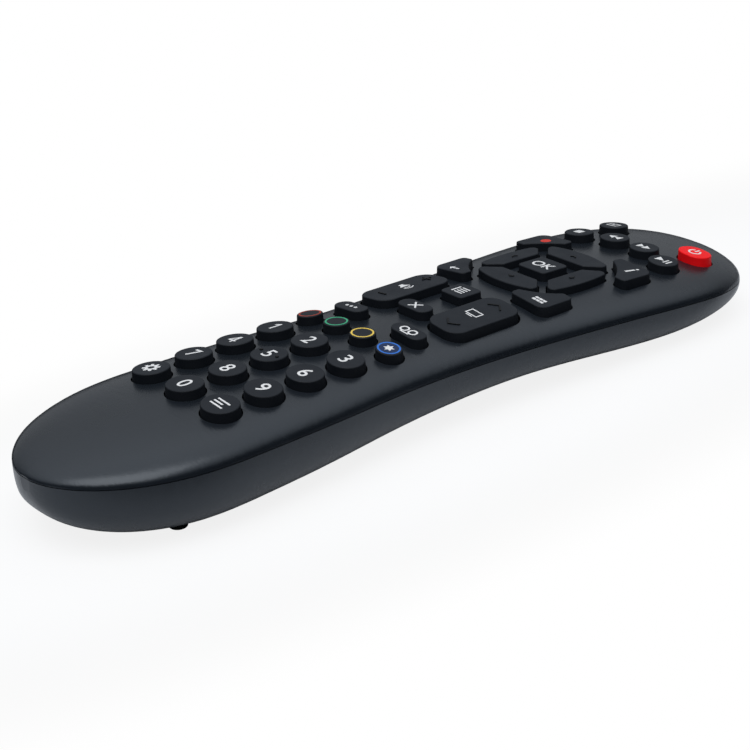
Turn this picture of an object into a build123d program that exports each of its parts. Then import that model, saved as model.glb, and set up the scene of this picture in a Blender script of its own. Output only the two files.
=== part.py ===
from build123d import *
import math
import os

# A hand-held remote control: two moulded shells round a keypad, a circuit board and two
# AAA cells. +Y points out of the emitter end, +Z up through the keys, and the origin is on
# the table under the middle of the remote.

# Plan of the body
length = 223.4
station_near = -length / 2
station_far = length / 2
near_belly_from_tip = 49.7
near_belly_y = station_near + near_belly_from_tip
near_belly_half_width = 27.75
waist_y = -6.0
waist_half_width = 24.8
far_belly_from_tip = 22.7
far_belly_y = station_far - far_belly_from_tip
far_belly_half_width = 30.95
near_round_length = 38.8
near_round_power = 1.96
far_round_length = 37.9
far_round_power = 2.95
tip_flat_depth = 0.1

# Side view of the body: heights over the table at five stations along the length
keys_from_tip = 51.7
station_near_keys = station_near + keys_from_tip
station_middle = 0.0
station_far_keys = station_far - keys_from_tip
crown_line = [
    (station_near, 23.95),
    (station_near_keys, 24.35),
    (station_middle, 22.55),
    (station_far_keys, 19.65),
    (station_far, 14.65),
]
parting_line = [
    (station_near, 18.35),
    (station_near_keys, 17.85),
    (station_middle, 16.15),
    (station_far_keys, 13.55),
    (station_far, 9.15),
]
near_keel_from_tip = 35.7
near_keel_y = station_near + near_keel_from_tip
near_keel_height = 0.4
arch_y = 18.0
arch_height = 3.8
far_keel_from_tip = 37.7
far_keel_y = station_far - far_keel_from_tip
far_keel_height = 0.4
far_keel_rise = 5.3

# Cross-section of the body
top_roundness = 2.44
bottom_roundness = 3.3
near_top_fall = 0.97
far_top_fall = 0.39
near_bottom_fall = 0.61
far_bottom_fall = 0.85
section_count = 17
wall = 2.0
parting_gap = 0.2
parting_stations = 12
slope_step = 0.5
clear_of_body = 60.0

# Keys: sizes at their top faces, in plan
key_rise = 2.4
key_draft = 3.0
key_head_room = 2.0
key_edge = 0.35
key_slot_gap = 0.5
key_press = 0.8
key_stop_gap = 0.1
rocker_rise = 2.1
rocker_sway = 0.2
rocker_rib_radius = 0.8
rocker_rib_length = 8.0
number_key_diameter = 9.3
number_pitch_x = 14.0
number_pitch_y = 12.5
number_row_y = -66.8
small_key_diameter = 8.2
colour_key_diameter = 6.7
oval_key_length = 10.7
oval_key_width = 5.2
power_key_length = 9.5
power_key_width = 7.7
rocker_width = 11.7
rocker_length = 24.3
rocker_corner = 4.2
square_key_corner = 1.5
menu_key_width = 8.3
menu_key_length = 7.9
ok_key_width = 10.2
ok_key_length = 9.6

# Key places
colour_outer_x = 15.5
colour_outer_y = -16.9
colour_inner_x = 5.1
colour_inner_y = -16.6
oval_pair_x = 11.2
oval_pair_y = -6.7
exit_y = 5.4
rocker_x = 13.3
rocker_y = 13.4
menu_y = 21.2
pad_y = 51.0
transport_outer_x = 16.0
transport_outer_y = 81.3
transport_inner_x = 5.6
transport_inner_y = 85.0
top_key_x = 15.4
top_key_y = 94.9

# Direction pad
pad_key_rise = 2.0
pad_key_gap = 2.7
side_arrow_inner = 8.3
side_arrow_shoulder = 13.6
side_arrow_outer = 15.1
end_arrow_inner = 8.5
end_arrow_shoulder = 13.6
end_arrow_outer = 16.4
arrow_inner_corner = 0.7
arrow_outer_corner = 1.6
pad_clearance_radius = 19.9
corner_key_near = 9.0
corner_key_side = 21.0
corner_key_low = 9.6
corner_key_end = 21.0
corner_key_round = 2.8
corner_key_tip_round = 1.5
corner_key_inner_round = 0.9

# Board and keypad mat
board_width = 41.0
board_near_from_tip = 37.7
board_near_y = station_near + board_near_from_tip
board_far_from_tip = 8.2
board_far_y = station_far - board_far_from_tip
board_thickness = 1.0
board_corner = 6.0
board_depth_far = 5.5
board_rest_gap = 0.25
mat_thickness = 1.2
mat_margin = 0.6
mat_far_from_tip = 10.7
mat_far_y = station_far - mat_far_from_tip
mat_slot_gap = 0.35

# Batteries and their bay
cell_diameter = 10.5
cell_length = 44.5
cell_nub_diameter = 3.8
cell_nub_length = 1.0
cell_spacing = 11.0
cell_floor_gap = 0.3
cell_edge = 0.6
bay_near_from_tip = 27.2
bay_near_y = station_near + bay_near_from_tip
bay_length = 50.0
bay_side_gap = 0.45
bay_roof_gap = 0.2
bay_wall = 1.0
bay_roof_thickness = 0.8
contact_thickness = 0.4
contact_height = 9.5
contact_gap = 0.1
leaf_thickness = 0.3
tail_width = 2.5
tail_slot_gap = 0.15

# Battery cover
cover_gap = 0.25
tab_width = 4.4
tab_root = 3.0
tab_reach = 1.6
tab_thickness = 0.9
tab_gap = 0.35
tab_side_gap = 0.35
tab_swing_room = 0.7
contact_width = cell_spacing - tab_width - 2 * tab_side_gap
latch_width = 3.0
latch_thickness = 1.0
latch_height = 4.0
grip_count = 4
grip_pitch = 2.2
grip_width = 1.1
grip_length = 12.0
grip_depth = 0.5
grip_from_edge = 4.0

# Feet and screws
foot_diameter = 4.6
foot_sink = 0.7
foot_gap = 0.1
foot_edge = 0.3
near_foot_x = 14.5
near_foot_from_tip = 30.2
near_foot_y = station_near + near_foot_from_tip
far_foot_x = 14.0
far_foot_from_tip = 39.7
far_foot_y = station_far - far_foot_from_tip
boss_diameter = 7.0
screw_head_diameter = 3.5
screw_head_height = 1.4
screw_head_z = 8.0
screw_head_gap = 0.25
screw_diameter = 2.0
screw_hole_gap = 0.15
screw_pilot_gap = 0.02
screw_bite = 3.6
post_diameter = 5.6
post_pilot_margin = 0.5

# Board supports
pillar_diameter = 3.6
pillar_x = 17.5
pillar_near_y = -58.0
pillar_middle_y = 0.0
pillar_far_y = 62.0
pillar_gap = 0.1

# Electronics
chip_width = 7.6
chip_length = 12.8
chip_height = 1.6
chip_y = -12.0
chip_leg_pitch = 1.27
chip_leg_count = 10
chip_leg_reach = 1.2
chip_leg_thickness = 0.4
capacitor_diameter = 5.0
capacitor_height = 6.0
capacitor_y = 14.0
resonator_width = 6.5
resonator_length = 3.2
resonator_height = 2.5
resonator_corner = 1.0
resonator_y = 4.2
resistor_width = 1.6
resistor_length = 0.9
resistor_height = 0.6
resistor_pitch = 4.0
resistor_count = 4
resistor_y = 23.0
emitter_diameter = 3.0
emitter_length = 4.2
emitter_flange = 3.6
emitter_flange_thickness = 1.0
emitter_end_from_tip = 3.5
emitter_end_y = station_far - emitter_end_from_tip
emitter_lead = 0.5
emitter_lead_lap = 2.0
emitter_lead_pitch = 2.54
window_width = 15.0
window_below_parting = 2.0
window_above_parting = 3.0
window_depth = 4.3
window_near_y = station_far - window_depth
window_gap = 0.12


def swell(y, knots):
    """Value at y of a curve that eases from knot to knot and is level at each."""
    if y <= knots[0][0]:
        return knots[0][1]
    for (y0, v0), (y1, v1) in zip(knots, knots[1:]):
        if y <= y1:
            share = (1 - math.cos(math.pi * (y - y0) / (y1 - y0))) / 2
            return v0 + (v1 - v0) * share
    return knots[-1][1]


def fair(y, knots):
    """Value at y of a smooth curve through the knots, with each slope from its neighbours."""
    last = len(knots) - 1
    slopes = []
    for k in range(last + 1):
        before = knots[max(k - 1, 0)]
        after = knots[min(k + 1, last)]
        slopes.append((after[1] - before[1]) / (after[0] - before[0]))
    y = min(max(y, knots[0][0]), knots[last][0])
    k = 0
    while k < last - 1 and y > knots[k + 1][0]:
        k += 1
    span = knots[k + 1][0] - knots[k][0]
    t = (y - knots[k][0]) / span
    rise = knots[k + 1][1] - knots[k][1]
    s0 = slopes[k] * span
    s1 = slopes[k + 1] * span
    return knots[k][1] + s0 * t + (3 * rise - 2 * s0 - s1) * t**2 + (s0 + s1 - 2 * rise) * t**3


def round_off(distance, reach, power):
    """Share of the full width that is left at a distance from a rounded tip."""
    inside = min(max(distance / reach, 0), 1)
    return (1 - (1 - inside) ** power) ** (1 / power)


def body_section(y, inset=0.0):
    """Half-width, parting height, height above it and depth below it, at one station."""
    near_taper = round_off(y - station_near - inset, near_round_length, near_round_power)
    far_taper = round_off(station_far - inset - y, far_round_length, far_round_power)
    plan = [
        (near_belly_y, near_belly_half_width),
        (waist_y, waist_half_width),
        (far_belly_y, far_belly_half_width),
    ]
    keel = [
        (near_keel_y, near_keel_height),
        (arch_y, arch_height),
        (far_keel_y, far_keel_height),
    ]
    toe = max(y - far_keel_y, 0) / (station_far - far_keel_y)
    parting = fair(y, parting_line)
    crown = fair(y, crown_line) - parting - inset
    depth = parting - swell(y, keel) - far_keel_rise * toe**2 - inset
    half_width = (swell(y, plan) - inset) * near_taper * far_taper
    crown *= near_taper**near_top_fall * far_taper**far_top_fall
    depth *= near_taper**near_bottom_fall * far_taper**far_bottom_fall
    return half_width, parting, crown, depth


def crown_height(x, y, inset=0.0):
    """Height over the table of the body's top skin."""
    half_width, parting, rise, _ = body_section(y, inset)
    share = (1 - min(abs(x) / half_width, 1) ** top_roundness) ** (1 / top_roundness)
    return parting + rise * share


def keel_height(x, y, inset=0.0):
    """Height over the table of the body's bottom skin."""
    half_width, parting, _, depth = body_section(y, inset)
    share = (1 - min(abs(x) / half_width, 1) ** bottom_roundness) ** (1 / bottom_roundness)
    return parting - depth * share


def quarter_arc(x, z, height, roundness):
    """A quarter of a rounded section, from its side at (x, z) to its middle."""
    pull = (0.5 ** (1 / roundness) - 0.5) / 0.375
    return Bezier((x, z), (x, z + pull * height), (pull * x, z + height), (0, z + height))


def body_form(inset):
    """The whole rounded body, or the room inside it when drawn in by the wall."""
    near = station_near + inset + tip_flat_depth
    span = station_far - inset - tip_flat_depth - near
    with BuildPart() as form:
        for k in range(section_count):
            y = near + span * (1 - math.cos(math.pi * k / (section_count - 1))) / 2
            half_width, parting, rise, depth = body_section(y, inset)
            with BuildSketch(Plane.XZ.offset(-y)):
                with BuildLine():
                    for side in (half_width, -half_width):
                        quarter_arc(side, parting, rise, top_roundness)
                        quarter_arc(side, parting, -depth, bottom_roundness)
                make_face()
        loft()
    return form.part


def beside_parting(side):
    """Everything above the parting line (side 1) or below it (side -1), less half the gap."""
    shift = side * parting_gap / 2
    far_off = side * clear_of_body
    low = station_near - wall
    high = station_far + wall
    step = (high - low) / parting_stations
    stations = [low + step * k for k in range(parting_stations + 1)]
    with BuildPart() as region:
        with BuildSketch(Plane.YZ):
            with BuildLine():
                edge = Spline(*[(y, fair(y, parting_line) + shift) for y in stations])
                Polyline(edge @ 1, (high, far_off), (low, far_off), edge @ 0)
            make_face()
        extrude(amount=clear_of_body, both=True)
    return region.part


def skin_plane(x, y, rise):
    """Plane that rests on the body's top skin at a place, raised off it."""
    rise_x = crown_height(x + slope_step, y) - crown_height(x - slope_step, y)
    rise_y = crown_height(x, y + slope_step) - crown_height(x, y - slope_step)
    slope_x = rise_x / (2 * slope_step)
    slope_y = rise_y / (2 * slope_step)
    top = crown_height(x, y) + rise
    return Plane(origin=(x, y, top), x_dir=(1, 0, slope_x), z_dir=(-slope_x, -slope_y, 1))


# Battery bay: a box in the near belly, its floor on the cover and its roof under the board
bay_far_y = bay_near_y + bay_length
bay_middle_y = (bay_near_y + bay_far_y) / 2
bay_half_width = (cell_spacing + cell_diameter) / 2 + bay_side_gap
bay_floor_z = max(
    keel_height(bay_half_width, bay_near_y, wall),
    keel_height(bay_half_width, bay_far_y, wall),
)
cell_z = bay_floor_z + cell_floor_gap + cell_diameter / 2
bay_roof_z = cell_z + cell_diameter / 2 + bay_roof_gap

# The board runs straight from the far edge of the bay's roof to the emitter end
board_rest_y = bay_far_y + bay_wall
board_rest_top = bay_roof_z + bay_roof_thickness + board_rest_gap + board_thickness
board_far_top = crown_height(0, board_far_y) - board_depth_far
board_slope = (board_far_top - board_rest_top) / (board_far_y - board_rest_y)


def board_top(y):
    """Height over the table of the board's upper face."""
    return board_rest_top + board_slope * (y - board_rest_y)


def board_plane(lift):
    """Plane parallel to the board's upper face, lifted off it."""
    return Plane(origin=(0, 0, board_top(0) + lift), x_dir=(1, 0, 0), z_dir=(0, -board_slope, 1))


# Key outlines, each drawn round the key's own middle
def round_outline(diameter):
    with BuildSketch() as outline:
        Circle(diameter / 2)
    return outline.sketch


def oval_outline(long_size, short_size):
    with BuildSketch() as outline:
        SlotOverall(long_size, short_size)
    return outline.sketch


def square_outline(width, long_size, corner):
    with BuildSketch() as outline:
        RectangleRounded(width, long_size, corner)
    return outline.sketch


def arrow_outline(inner, shoulder, outer, turn):
    """A quarter of the direction pad: straight inside, bowed outside, round the pad's middle."""
    back_off = pad_key_gap / math.sqrt(2)
    with BuildSketch() as outline:
        with BuildLine():
            left = (back_off - inner, inner)
            left_shoulder = (back_off - shoulder, shoulder)
            right_shoulder = (shoulder - back_off, shoulder)
            right = (inner - back_off, inner)
            Polyline(left_shoulder, left, right, right_shoulder)
            ThreePointArc(left_shoulder, (0, outer), right_shoulder)
        make_face()
        fillet(outline.vertices().group_by(Axis.Y)[0], arrow_inner_corner)
        fillet(outline.vertices().sort_by(Axis.X)[0], arrow_outer_corner)
        fillet(outline.vertices().sort_by(Axis.X)[-1], arrow_outer_corner)
    return outline.sketch.rotate(Axis.Z, turn)


def corner_outline(side, end):
    """A key outside one corner of the direction pad, hollowed round the pad's middle."""
    middle_x = (corner_key_near + corner_key_side) / 2
    middle_y = (corner_key_low + corner_key_end) / 2
    with BuildSketch() as outline:
        with Locations((side * middle_x, end * middle_y)):
            Rectangle(corner_key_side - corner_key_near, corner_key_end - corner_key_low)
        Circle(pad_clearance_radius, mode=Mode.SUBTRACT)
        outer_corner = (side * corner_key_side, end * corner_key_end, 0)
        end_tip = (side * corner_key_near, end * corner_key_end, 0)
        side_tip = (side * corner_key_side, end * corner_key_low, 0)
        fillet(outline.vertices().sort_by_distance(outer_corner)[0], corner_key_round)
        fillet(outline.vertices().sort_by_distance(end_tip)[0], corner_key_tip_round)
        fillet(outline.vertices().sort_by_distance(side_tip)[0], corner_key_tip_round)
        fillet(outline.vertices().sort_by_distance((0, 0, 0))[0:2], corner_key_inner_round)
    return outline.sketch


number_key = round_outline(number_key_diameter)
small_key = round_outline(small_key_diameter)
colour_key = round_outline(colour_key_diameter)
oval_key = oval_outline(oval_key_length, oval_key_width)
power_key = oval_outline(power_key_length, power_key_width)
rocker_key = square_outline(rocker_width, rocker_length, rocker_corner)
menu_key = square_outline(menu_key_width, menu_key_length, square_key_corner)
ok_key = square_outline(ok_key_width, ok_key_length, square_key_corner)
side_arrow = (side_arrow_inner, side_arrow_shoulder, side_arrow_outer)
end_arrow = (end_arrow_inner, end_arrow_shoulder, end_arrow_outer)

# Every key: name, place of its outline's origin, outline, rise over the skin
keys = [
    ("key_power", top_key_x, top_key_y, power_key, key_rise),
    ("key_source", -top_key_x, top_key_y, small_key, key_rise),
    ("key_rewind", -transport_inner_x, transport_inner_y, small_key, key_rise),
    ("key_forward", transport_inner_x, transport_inner_y, small_key, key_rise),
    ("key_stop", -transport_outer_x, transport_outer_y, small_key, key_rise),
    ("key_play_pause", transport_outer_x, transport_outer_y, small_key, key_rise),
    ("key_ok", 0, pad_y, ok_key, key_rise),
    ("key_up", 0, pad_y, arrow_outline(*end_arrow, 0), pad_key_rise),
    ("key_left", 0, pad_y, arrow_outline(*side_arrow, 90), pad_key_rise),
    ("key_down", 0, pad_y, arrow_outline(*end_arrow, 180), pad_key_rise),
    ("key_right", 0, pad_y, arrow_outline(*side_arrow, 270), pad_key_rise),
    ("key_record", 0, pad_y, corner_outline(-1, 1), key_rise),
    ("key_info", 0, pad_y, corner_outline(1, 1), key_rise),
    ("key_back", 0, pad_y, corner_outline(-1, -1), key_rise),
    ("key_guide", 0, pad_y, corner_outline(1, -1), key_rise),
    ("key_menu", 0, menu_y, menu_key, key_rise),
    ("volume_rocker", -rocker_x, rocker_y, rocker_key, rocker_rise),
    ("channel_rocker", rocker_x, rocker_y, rocker_key, rocker_rise),
    ("key_exit", 0, exit_y, oval_key, key_rise),
    ("key_options", -oval_pair_x, oval_pair_y, oval_key, key_rise),
    ("key_recordings", oval_pair_x, oval_pair_y, oval_key, key_rise),
    ("key_red", -colour_outer_x, colour_outer_y, colour_key, key_rise),
    ("key_green", -colour_inner_x, colour_inner_y, colour_key, key_rise),
    ("key_yellow", colour_inner_x, colour_inner_y, colour_key, key_rise),
    ("key_blue", colour_outer_x, colour_outer_y, colour_key, key_rise),
]
number_rows = [
    ("key_settings", "key_0", "key_text"),
    ("key_7", "key_8", "key_9"),
    ("key_4", "key_5", "key_6"),
    ("key_1", "key_2", "key_3"),
]
for row, names in enumerate(number_rows):
    for column, name in enumerate(names):
        x = (column - 1) * number_pitch_x
        y = number_row_y + row * number_pitch_y
        keys.append((name, x, y, number_key, key_rise))


rockers = ("volume_rocker", "channel_rocker")


def key_base(y):
    """Height over the table of the keys' undersides."""
    return board_top(y) + key_press + key_stop_gap


def slot_gap(label):
    """Gap between a key and its slot; a rocker also sways as it tilts on its rib."""
    return key_slot_gap + (rocker_sway if label in rockers else 0)


def key_room(outline, x, y, growth):
    """Upright prism round a key, for its slot through a wall or a sheet."""
    with BuildPart() as room:
        with BuildSketch():
            with Locations((x, y)):
                add(offset(outline, amount=growth, mode=Mode.PRIVATE))
        extrude(amount=clear_of_body)
    return room.part


def rubber_key(label, x, y, outline, rise):
    """A moulded key: drawn wider towards the board, its top cut to the slope of the crown."""
    middle = outline.bounding_box().center()
    top = skin_plane(x + middle.X, y + middle.Y, rise)
    above = top.origin.Z + key_head_room
    below = board_top(y + middle.Y) - board_thickness
    head_draft = key_head_room * math.tan(math.radians(key_draft))
    with BuildPart() as key:
        with BuildSketch(Plane.XY.offset(above)):
            with Locations((x, y)):
                add(offset(outline, amount=-head_draft, mode=Mode.PRIVATE))
        extrude(amount=below - above, taper=-key_draft)
        split(bisect_by=top, keep=Keep.BOTTOM)
        split(bisect_by=board_plane(key_press + key_stop_gap), keep=Keep.TOP)
        fillet(key.faces().sort_by(Axis.Z)[-1].edges(), key_edge)
        if label in rockers:
            with BuildSketch(Plane.YZ.offset(x - rocker_rib_length / 2)):
                with Locations((y, key_base(y))):
                    Circle(rocker_rib_radius)
            extrude(amount=rocker_rib_length)
    key.part.label = label
    return key.part


def finish(piece, label):
    piece.label = label
    export_step(piece, f"parts/{label}.step")


os.makedirs("parts", exist_ok=True)

for label, x, y, outline, rise in keys:
    finish(rubber_key(label, x, y, outline, rise), label)


# The two shells: the rounded body less the room inside, parted along the side
outer_form = body_form(0)
room_form = body_form(wall)
above_parting = beside_parting(1)
below_parting = beside_parting(-1)

tab_low_z = keel_height(tab_width / 2, bay_far_y, wall) + tab_gap
tab_high_z = tab_low_z + tab_thickness

# Emitter window, across the parting line at the far tip
window_low_z = fair(station_far, parting_line) - window_below_parting
window_high_z = fair(station_far, parting_line) + window_above_parting

window_reach = station_far + clear_of_body - window_near_y
window_middle = (0, window_near_y + window_reach / 2, (window_low_z + window_high_z) / 2)

with BuildPart() as window_block:
    with Locations(window_middle):
        Box(window_width, window_reach, window_high_z - window_low_z)

with BuildPart() as window_hole:
    with Locations(window_middle):
        Box(
            window_width + 2 * window_gap,
            window_reach + 2 * window_gap,
            window_high_z - window_low_z + 2 * window_gap,
        )

with BuildPart() as emitter_window:
    add(outer_form)
    add(room_form, mode=Mode.SUBTRACT)
    add(window_block.part, mode=Mode.INTERSECT)
finish(emitter_window.part, "emitter_window")

near_feet = [(-near_foot_x, near_foot_y), (near_foot_x, near_foot_y)]
far_feet = [(-far_foot_x, far_foot_y), (far_foot_x, far_foot_y)]

with BuildPart() as upper_room:
    add(room_form)
    with BuildSketch(Plane.XY):
        with Locations(*near_feet):
            Circle(post_diameter / 2)
    extrude(amount=clear_of_body, mode=Mode.SUBTRACT)

with BuildPart() as upper_housing:
    add(outer_form)
    add(upper_room.part, mode=Mode.SUBTRACT)
    add(above_parting, mode=Mode.INTERSECT)
    for label, x, y, outline, rise in keys:
        add(key_room(outline, x, y, slot_gap(label)), mode=Mode.SUBTRACT)
    add(window_hole.part, mode=Mode.SUBTRACT)
    pilot_top = fair(near_foot_y, parting_line) + screw_bite + post_pilot_margin
    with BuildSketch(Plane.XY.offset(pilot_top)):
        with Locations(*near_feet):
            Circle(screw_diameter / 2 + screw_pilot_gap)
    extrude(amount=-clear_of_body, mode=Mode.SUBTRACT)
finish(upper_housing.part, "upper_housing")

pillars = [
    (side * pillar_x, y)
    for side in (-1, 1)
    for y in (pillar_near_y, pillar_middle_y, pillar_far_y)
]

with BuildPart() as lower_room:
    add(room_form)
    with BuildSketch(Plane.XY):
        with Locations(*near_feet):
            Circle(boss_diameter / 2)
    extrude(amount=clear_of_body, mode=Mode.SUBTRACT)
    for x, y in pillars:
        with BuildSketch(Plane.XY.offset(board_top(y) - board_thickness - pillar_gap)):
            with Locations((x, y)):
                Circle(pillar_diameter / 2)
        extrude(amount=-clear_of_body, mode=Mode.SUBTRACT)
    with BuildSketch(Plane.XY.offset(bay_roof_z + bay_roof_thickness)):
        with Locations((0, bay_middle_y)):
            Rectangle(2 * (bay_half_width + bay_wall), bay_length + 2 * bay_wall)
    extrude(amount=-clear_of_body, mode=Mode.SUBTRACT)

with BuildPart() as lower_housing:
    add(outer_form)
    add(lower_room.part, mode=Mode.SUBTRACT)
    add(below_parting, mode=Mode.INTERSECT)
    with BuildSketch(Plane.XY.offset(bay_roof_z)):
        with Locations((0, bay_middle_y)):
            Rectangle(2 * bay_half_width, bay_length)
    extrude(amount=-clear_of_body, mode=Mode.SUBTRACT)
    with Locations((0, bay_far_y, tab_low_z + tab_thickness / 2)):
        Box(
            tab_width + 2 * tab_gap,
            2 * (bay_wall + tab_gap + cover_gap),
            tab_thickness + 2 * tab_swing_room,
            mode=Mode.SUBTRACT,
        )
    tail_span_y = bay_length - contact_thickness
    with Locations((0, bay_middle_y, bay_roof_z + bay_roof_thickness / 2)):
        with GridLocations(cell_spacing, tail_span_y, 2, 2):
            Box(
                tail_width + 2 * tail_slot_gap,
                contact_thickness + 2 * tail_slot_gap,
                2 * bay_roof_thickness,
                mode=Mode.SUBTRACT,
            )
    add(window_hole.part, mode=Mode.SUBTRACT)
    for x, y in near_feet + far_feet:
        with BuildSketch(Plane.XY.offset(keel_height(x, y) + foot_sink)):
            with Locations((x, y)):
                Circle(foot_diameter / 2 + foot_gap)
        extrude(amount=-clear_of_body, mode=Mode.SUBTRACT)
    with BuildSketch(Plane.XY.offset(screw_head_z)):
        with Locations(*near_feet):
            Circle(screw_head_diameter / 2 + screw_head_gap)
    extrude(amount=-clear_of_body, mode=Mode.SUBTRACT)
    with BuildSketch(Plane.XY):
        with Locations(*near_feet):
            Circle(screw_diameter / 2 + screw_hole_gap)
    extrude(amount=clear_of_body, mode=Mode.SUBTRACT)
finish(lower_housing.part, "lower_housing")

# Battery cover: the bay's share of the bottom shell, hung on a tab at its inner end
with BuildPart() as cover_outline:
    with BuildSketch(Plane.XY.offset(bay_roof_z)):
        with Locations((0, bay_middle_y)):
            Rectangle(2 * (bay_half_width - cover_gap), bay_length - 2 * cover_gap)
    extrude(amount=-clear_of_body)

cover_far_y = bay_far_y - cover_gap
cover_near_y = bay_near_y + cover_gap
latch_low_z = keel_height(0, bay_near_y, wall / 2)
tab_root_z = keel_height(0, bay_far_y, wall / 2)

with BuildPart() as battery_cover:
    add(outer_form)
    add(room_form, mode=Mode.SUBTRACT)
    add(cover_outline.part, mode=Mode.INTERSECT)
    with Locations((0, cover_far_y - tab_root / 2, (tab_root_z + tab_high_z) / 2)):
        Box(tab_width, tab_root, tab_high_z - tab_root_z)
    with Locations((0, cover_far_y + tab_reach / 2, (tab_low_z + tab_high_z) / 2)):
        Box(tab_width, tab_reach, tab_thickness)
    with Locations((0, cover_near_y + latch_thickness / 2, latch_low_z + latch_height / 2)):
        Box(latch_width, latch_thickness, latch_height)
    for k in range(grip_count):
        groove_y = cover_near_y + grip_from_edge + grip_pitch * k
        groove_top_z = keel_height(0, groove_y) + grip_depth
        with Locations((0, groove_y, groove_top_z - wall / 2)):
            Box(grip_length, grip_width, wall, mode=Mode.SUBTRACT)
finish(battery_cover.part, "battery_cover")

# The two cells lie head to tail, each against a flat contact and a bowed leaf
cell_clear = contact_thickness + contact_gap

for side, name in ((-1, "cell_left"), (1, "cell_right")):
    nub_end_y = bay_middle_y - side * (bay_length / 2 - cell_clear)
    with BuildPart() as cell:
        with BuildSketch(Plane(origin=(side * cell_spacing / 2, nub_end_y, cell_z), z_dir=(0, side, 0))):
            Circle(cell_nub_diameter / 2)
        extrude(amount=cell_nub_length)
        shoulder_y = nub_end_y + side * cell_nub_length
        with BuildSketch(Plane(origin=(side * cell_spacing / 2, shoulder_y, cell_z), z_dir=(0, side, 0))):
            Circle(cell_diameter / 2)
        extrude(amount=cell_length - cell_nub_length)
        fillet(cell.edges().filter_by(GeomType.CIRCLE).group_by(SortBy.RADIUS)[-1], cell_edge)
    finish(cell.part, name)

leaf_depth = bay_length - cell_length - 2 * cell_clear
tail_top_z = board_top(bay_far_y) - board_thickness

with BuildPart() as battery_contacts:
    for side in (-1, 1):
        for end in (-1, 1):
            x = side * cell_spacing / 2
            y = bay_middle_y + end * tail_span_y / 2
            with Locations((x, y, cell_z)):
                Box(contact_width, contact_thickness, contact_height)
            with Locations((x, y, (cell_z + tail_top_z) / 2)):
                Box(tail_width, contact_thickness, tail_top_z - cell_z)
            if side == end:
                plate_y = bay_middle_y + end * (bay_length / 2 - contact_thickness)
                bow = -end * leaf_depth
                with BuildSketch(Plane.XY.offset(cell_z)):
                    with BuildLine():
                        low = (x - contact_width / 2, plate_y)
                        high = (x + contact_width / 2, plate_y)
                        ThreePointArc(low, (x, plate_y + bow), high)
                        Line(high, (high[0] - leaf_thickness, plate_y))
                        inner_bow = bow + end * leaf_thickness
                        ThreePointArc(
                            (high[0] - leaf_thickness, plate_y),
                            (x, plate_y + inner_bow),
                            (low[0] + leaf_thickness, plate_y),
                        )
                        Line((low[0] + leaf_thickness, plate_y), low)
                    make_face()
                extrude(amount=tail_width, both=True)
finish(battery_contacts.part, "battery_contacts")

# Board and keypad mat, parallel to each other
board_middle_y = (board_near_y + board_far_y) / 2
board_length = board_far_y - board_near_y

with BuildPart() as circuit_board:
    with BuildSketch(board_plane(0)):
        with Locations((0, board_middle_y)):
            RectangleRounded(board_width, board_length, board_corner)
    extrude(amount=-board_thickness)
finish(circuit_board.part, "circuit_board")

with BuildPart() as keypad_mat:
    with BuildSketch(board_plane(0)):
        mat_near_y = board_near_y + mat_margin
        with Locations((0, (mat_near_y + mat_far_y) / 2)):
            RectangleRounded(board_width - 2 * mat_margin, mat_far_y - mat_near_y, board_corner)
    extrude(amount=mat_thickness)
    for label, x, y, outline, rise in keys:
        middle = outline.bounding_box().center()
        key_height = crown_height(x + middle.X, y + middle.Y) + rise - board_top(y + middle.Y)
        key_spread = key_height * math.tan(math.radians(key_draft))
        add(key_room(outline, x, y, key_spread + mat_slot_gap), mode=Mode.SUBTRACT)
finish(keypad_mat.part, "keypad_mat")

# Electronics under the board
under_board = board_plane(0).offset(-board_thickness)

with BuildPart() as controller_chip:
    with BuildSketch(under_board):
        with Locations((0, chip_y)):
            Rectangle(chip_width, chip_length)
    extrude(amount=-chip_height)
    with BuildSketch(under_board):
        with Locations((0, chip_y)):
            with GridLocations(chip_width + chip_leg_reach, chip_leg_pitch, 2, chip_leg_count):
                Rectangle(chip_leg_reach, chip_leg_thickness)
    extrude(amount=-chip_height / 2)
finish(controller_chip.part, "controller_chip")

with BuildPart() as board_components:
    with BuildSketch(under_board):
        with Locations((0, capacitor_y)):
            Circle(capacitor_diameter / 2)
    extrude(amount=-capacitor_height)
    with BuildSketch(under_board):
        with Locations((0, resonator_y)):
            RectangleRounded(resonator_width, resonator_length, resonator_corner)
    extrude(amount=-resonator_height)
    with BuildSketch(under_board):
        with Locations((0, resistor_y)):
            with GridLocations(resistor_pitch, resistor_pitch, 1, resistor_count):
                Rectangle(resistor_width, resistor_length)
    extrude(amount=-resistor_height)
finish(board_components.part, "board_components")

# Infrared emitter behind the window, its two leads soldered on the board
lead_near_y = board_far_y - emitter_lead_lap
emitter_z = board_top(lead_near_y) + emitter_lead / 2
emitter_back_y = emitter_end_y - emitter_length

with BuildPart() as infrared_emitter:
    with BuildSketch(Plane.YZ):
        with BuildLine():
            dome_y = emitter_end_y - emitter_diameter / 2
            Polyline(
                (dome_y, emitter_z + emitter_diameter / 2),
                (emitter_back_y + emitter_flange_thickness, emitter_z + emitter_diameter / 2),
                (emitter_back_y + emitter_flange_thickness, emitter_z + emitter_flange / 2),
                (emitter_back_y, emitter_z + emitter_flange / 2),
                (emitter_back_y, emitter_z),
                (emitter_end_y, emitter_z),
            )
            RadiusArc(
                (emitter_end_y, emitter_z),
                (dome_y, emitter_z + emitter_diameter / 2),
                -emitter_diameter / 2,
            )
        make_face()
    revolve(axis=Axis((0, 0, emitter_z), (0, 1, 0)))
    lead_middle_y = (lead_near_y + emitter_back_y) / 2
    with Locations((0, lead_middle_y, emitter_z)):
        with GridLocations(emitter_lead_pitch, 1, 2, 1):
            Box(emitter_lead, emitter_back_y - lead_near_y, emitter_lead)
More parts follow.
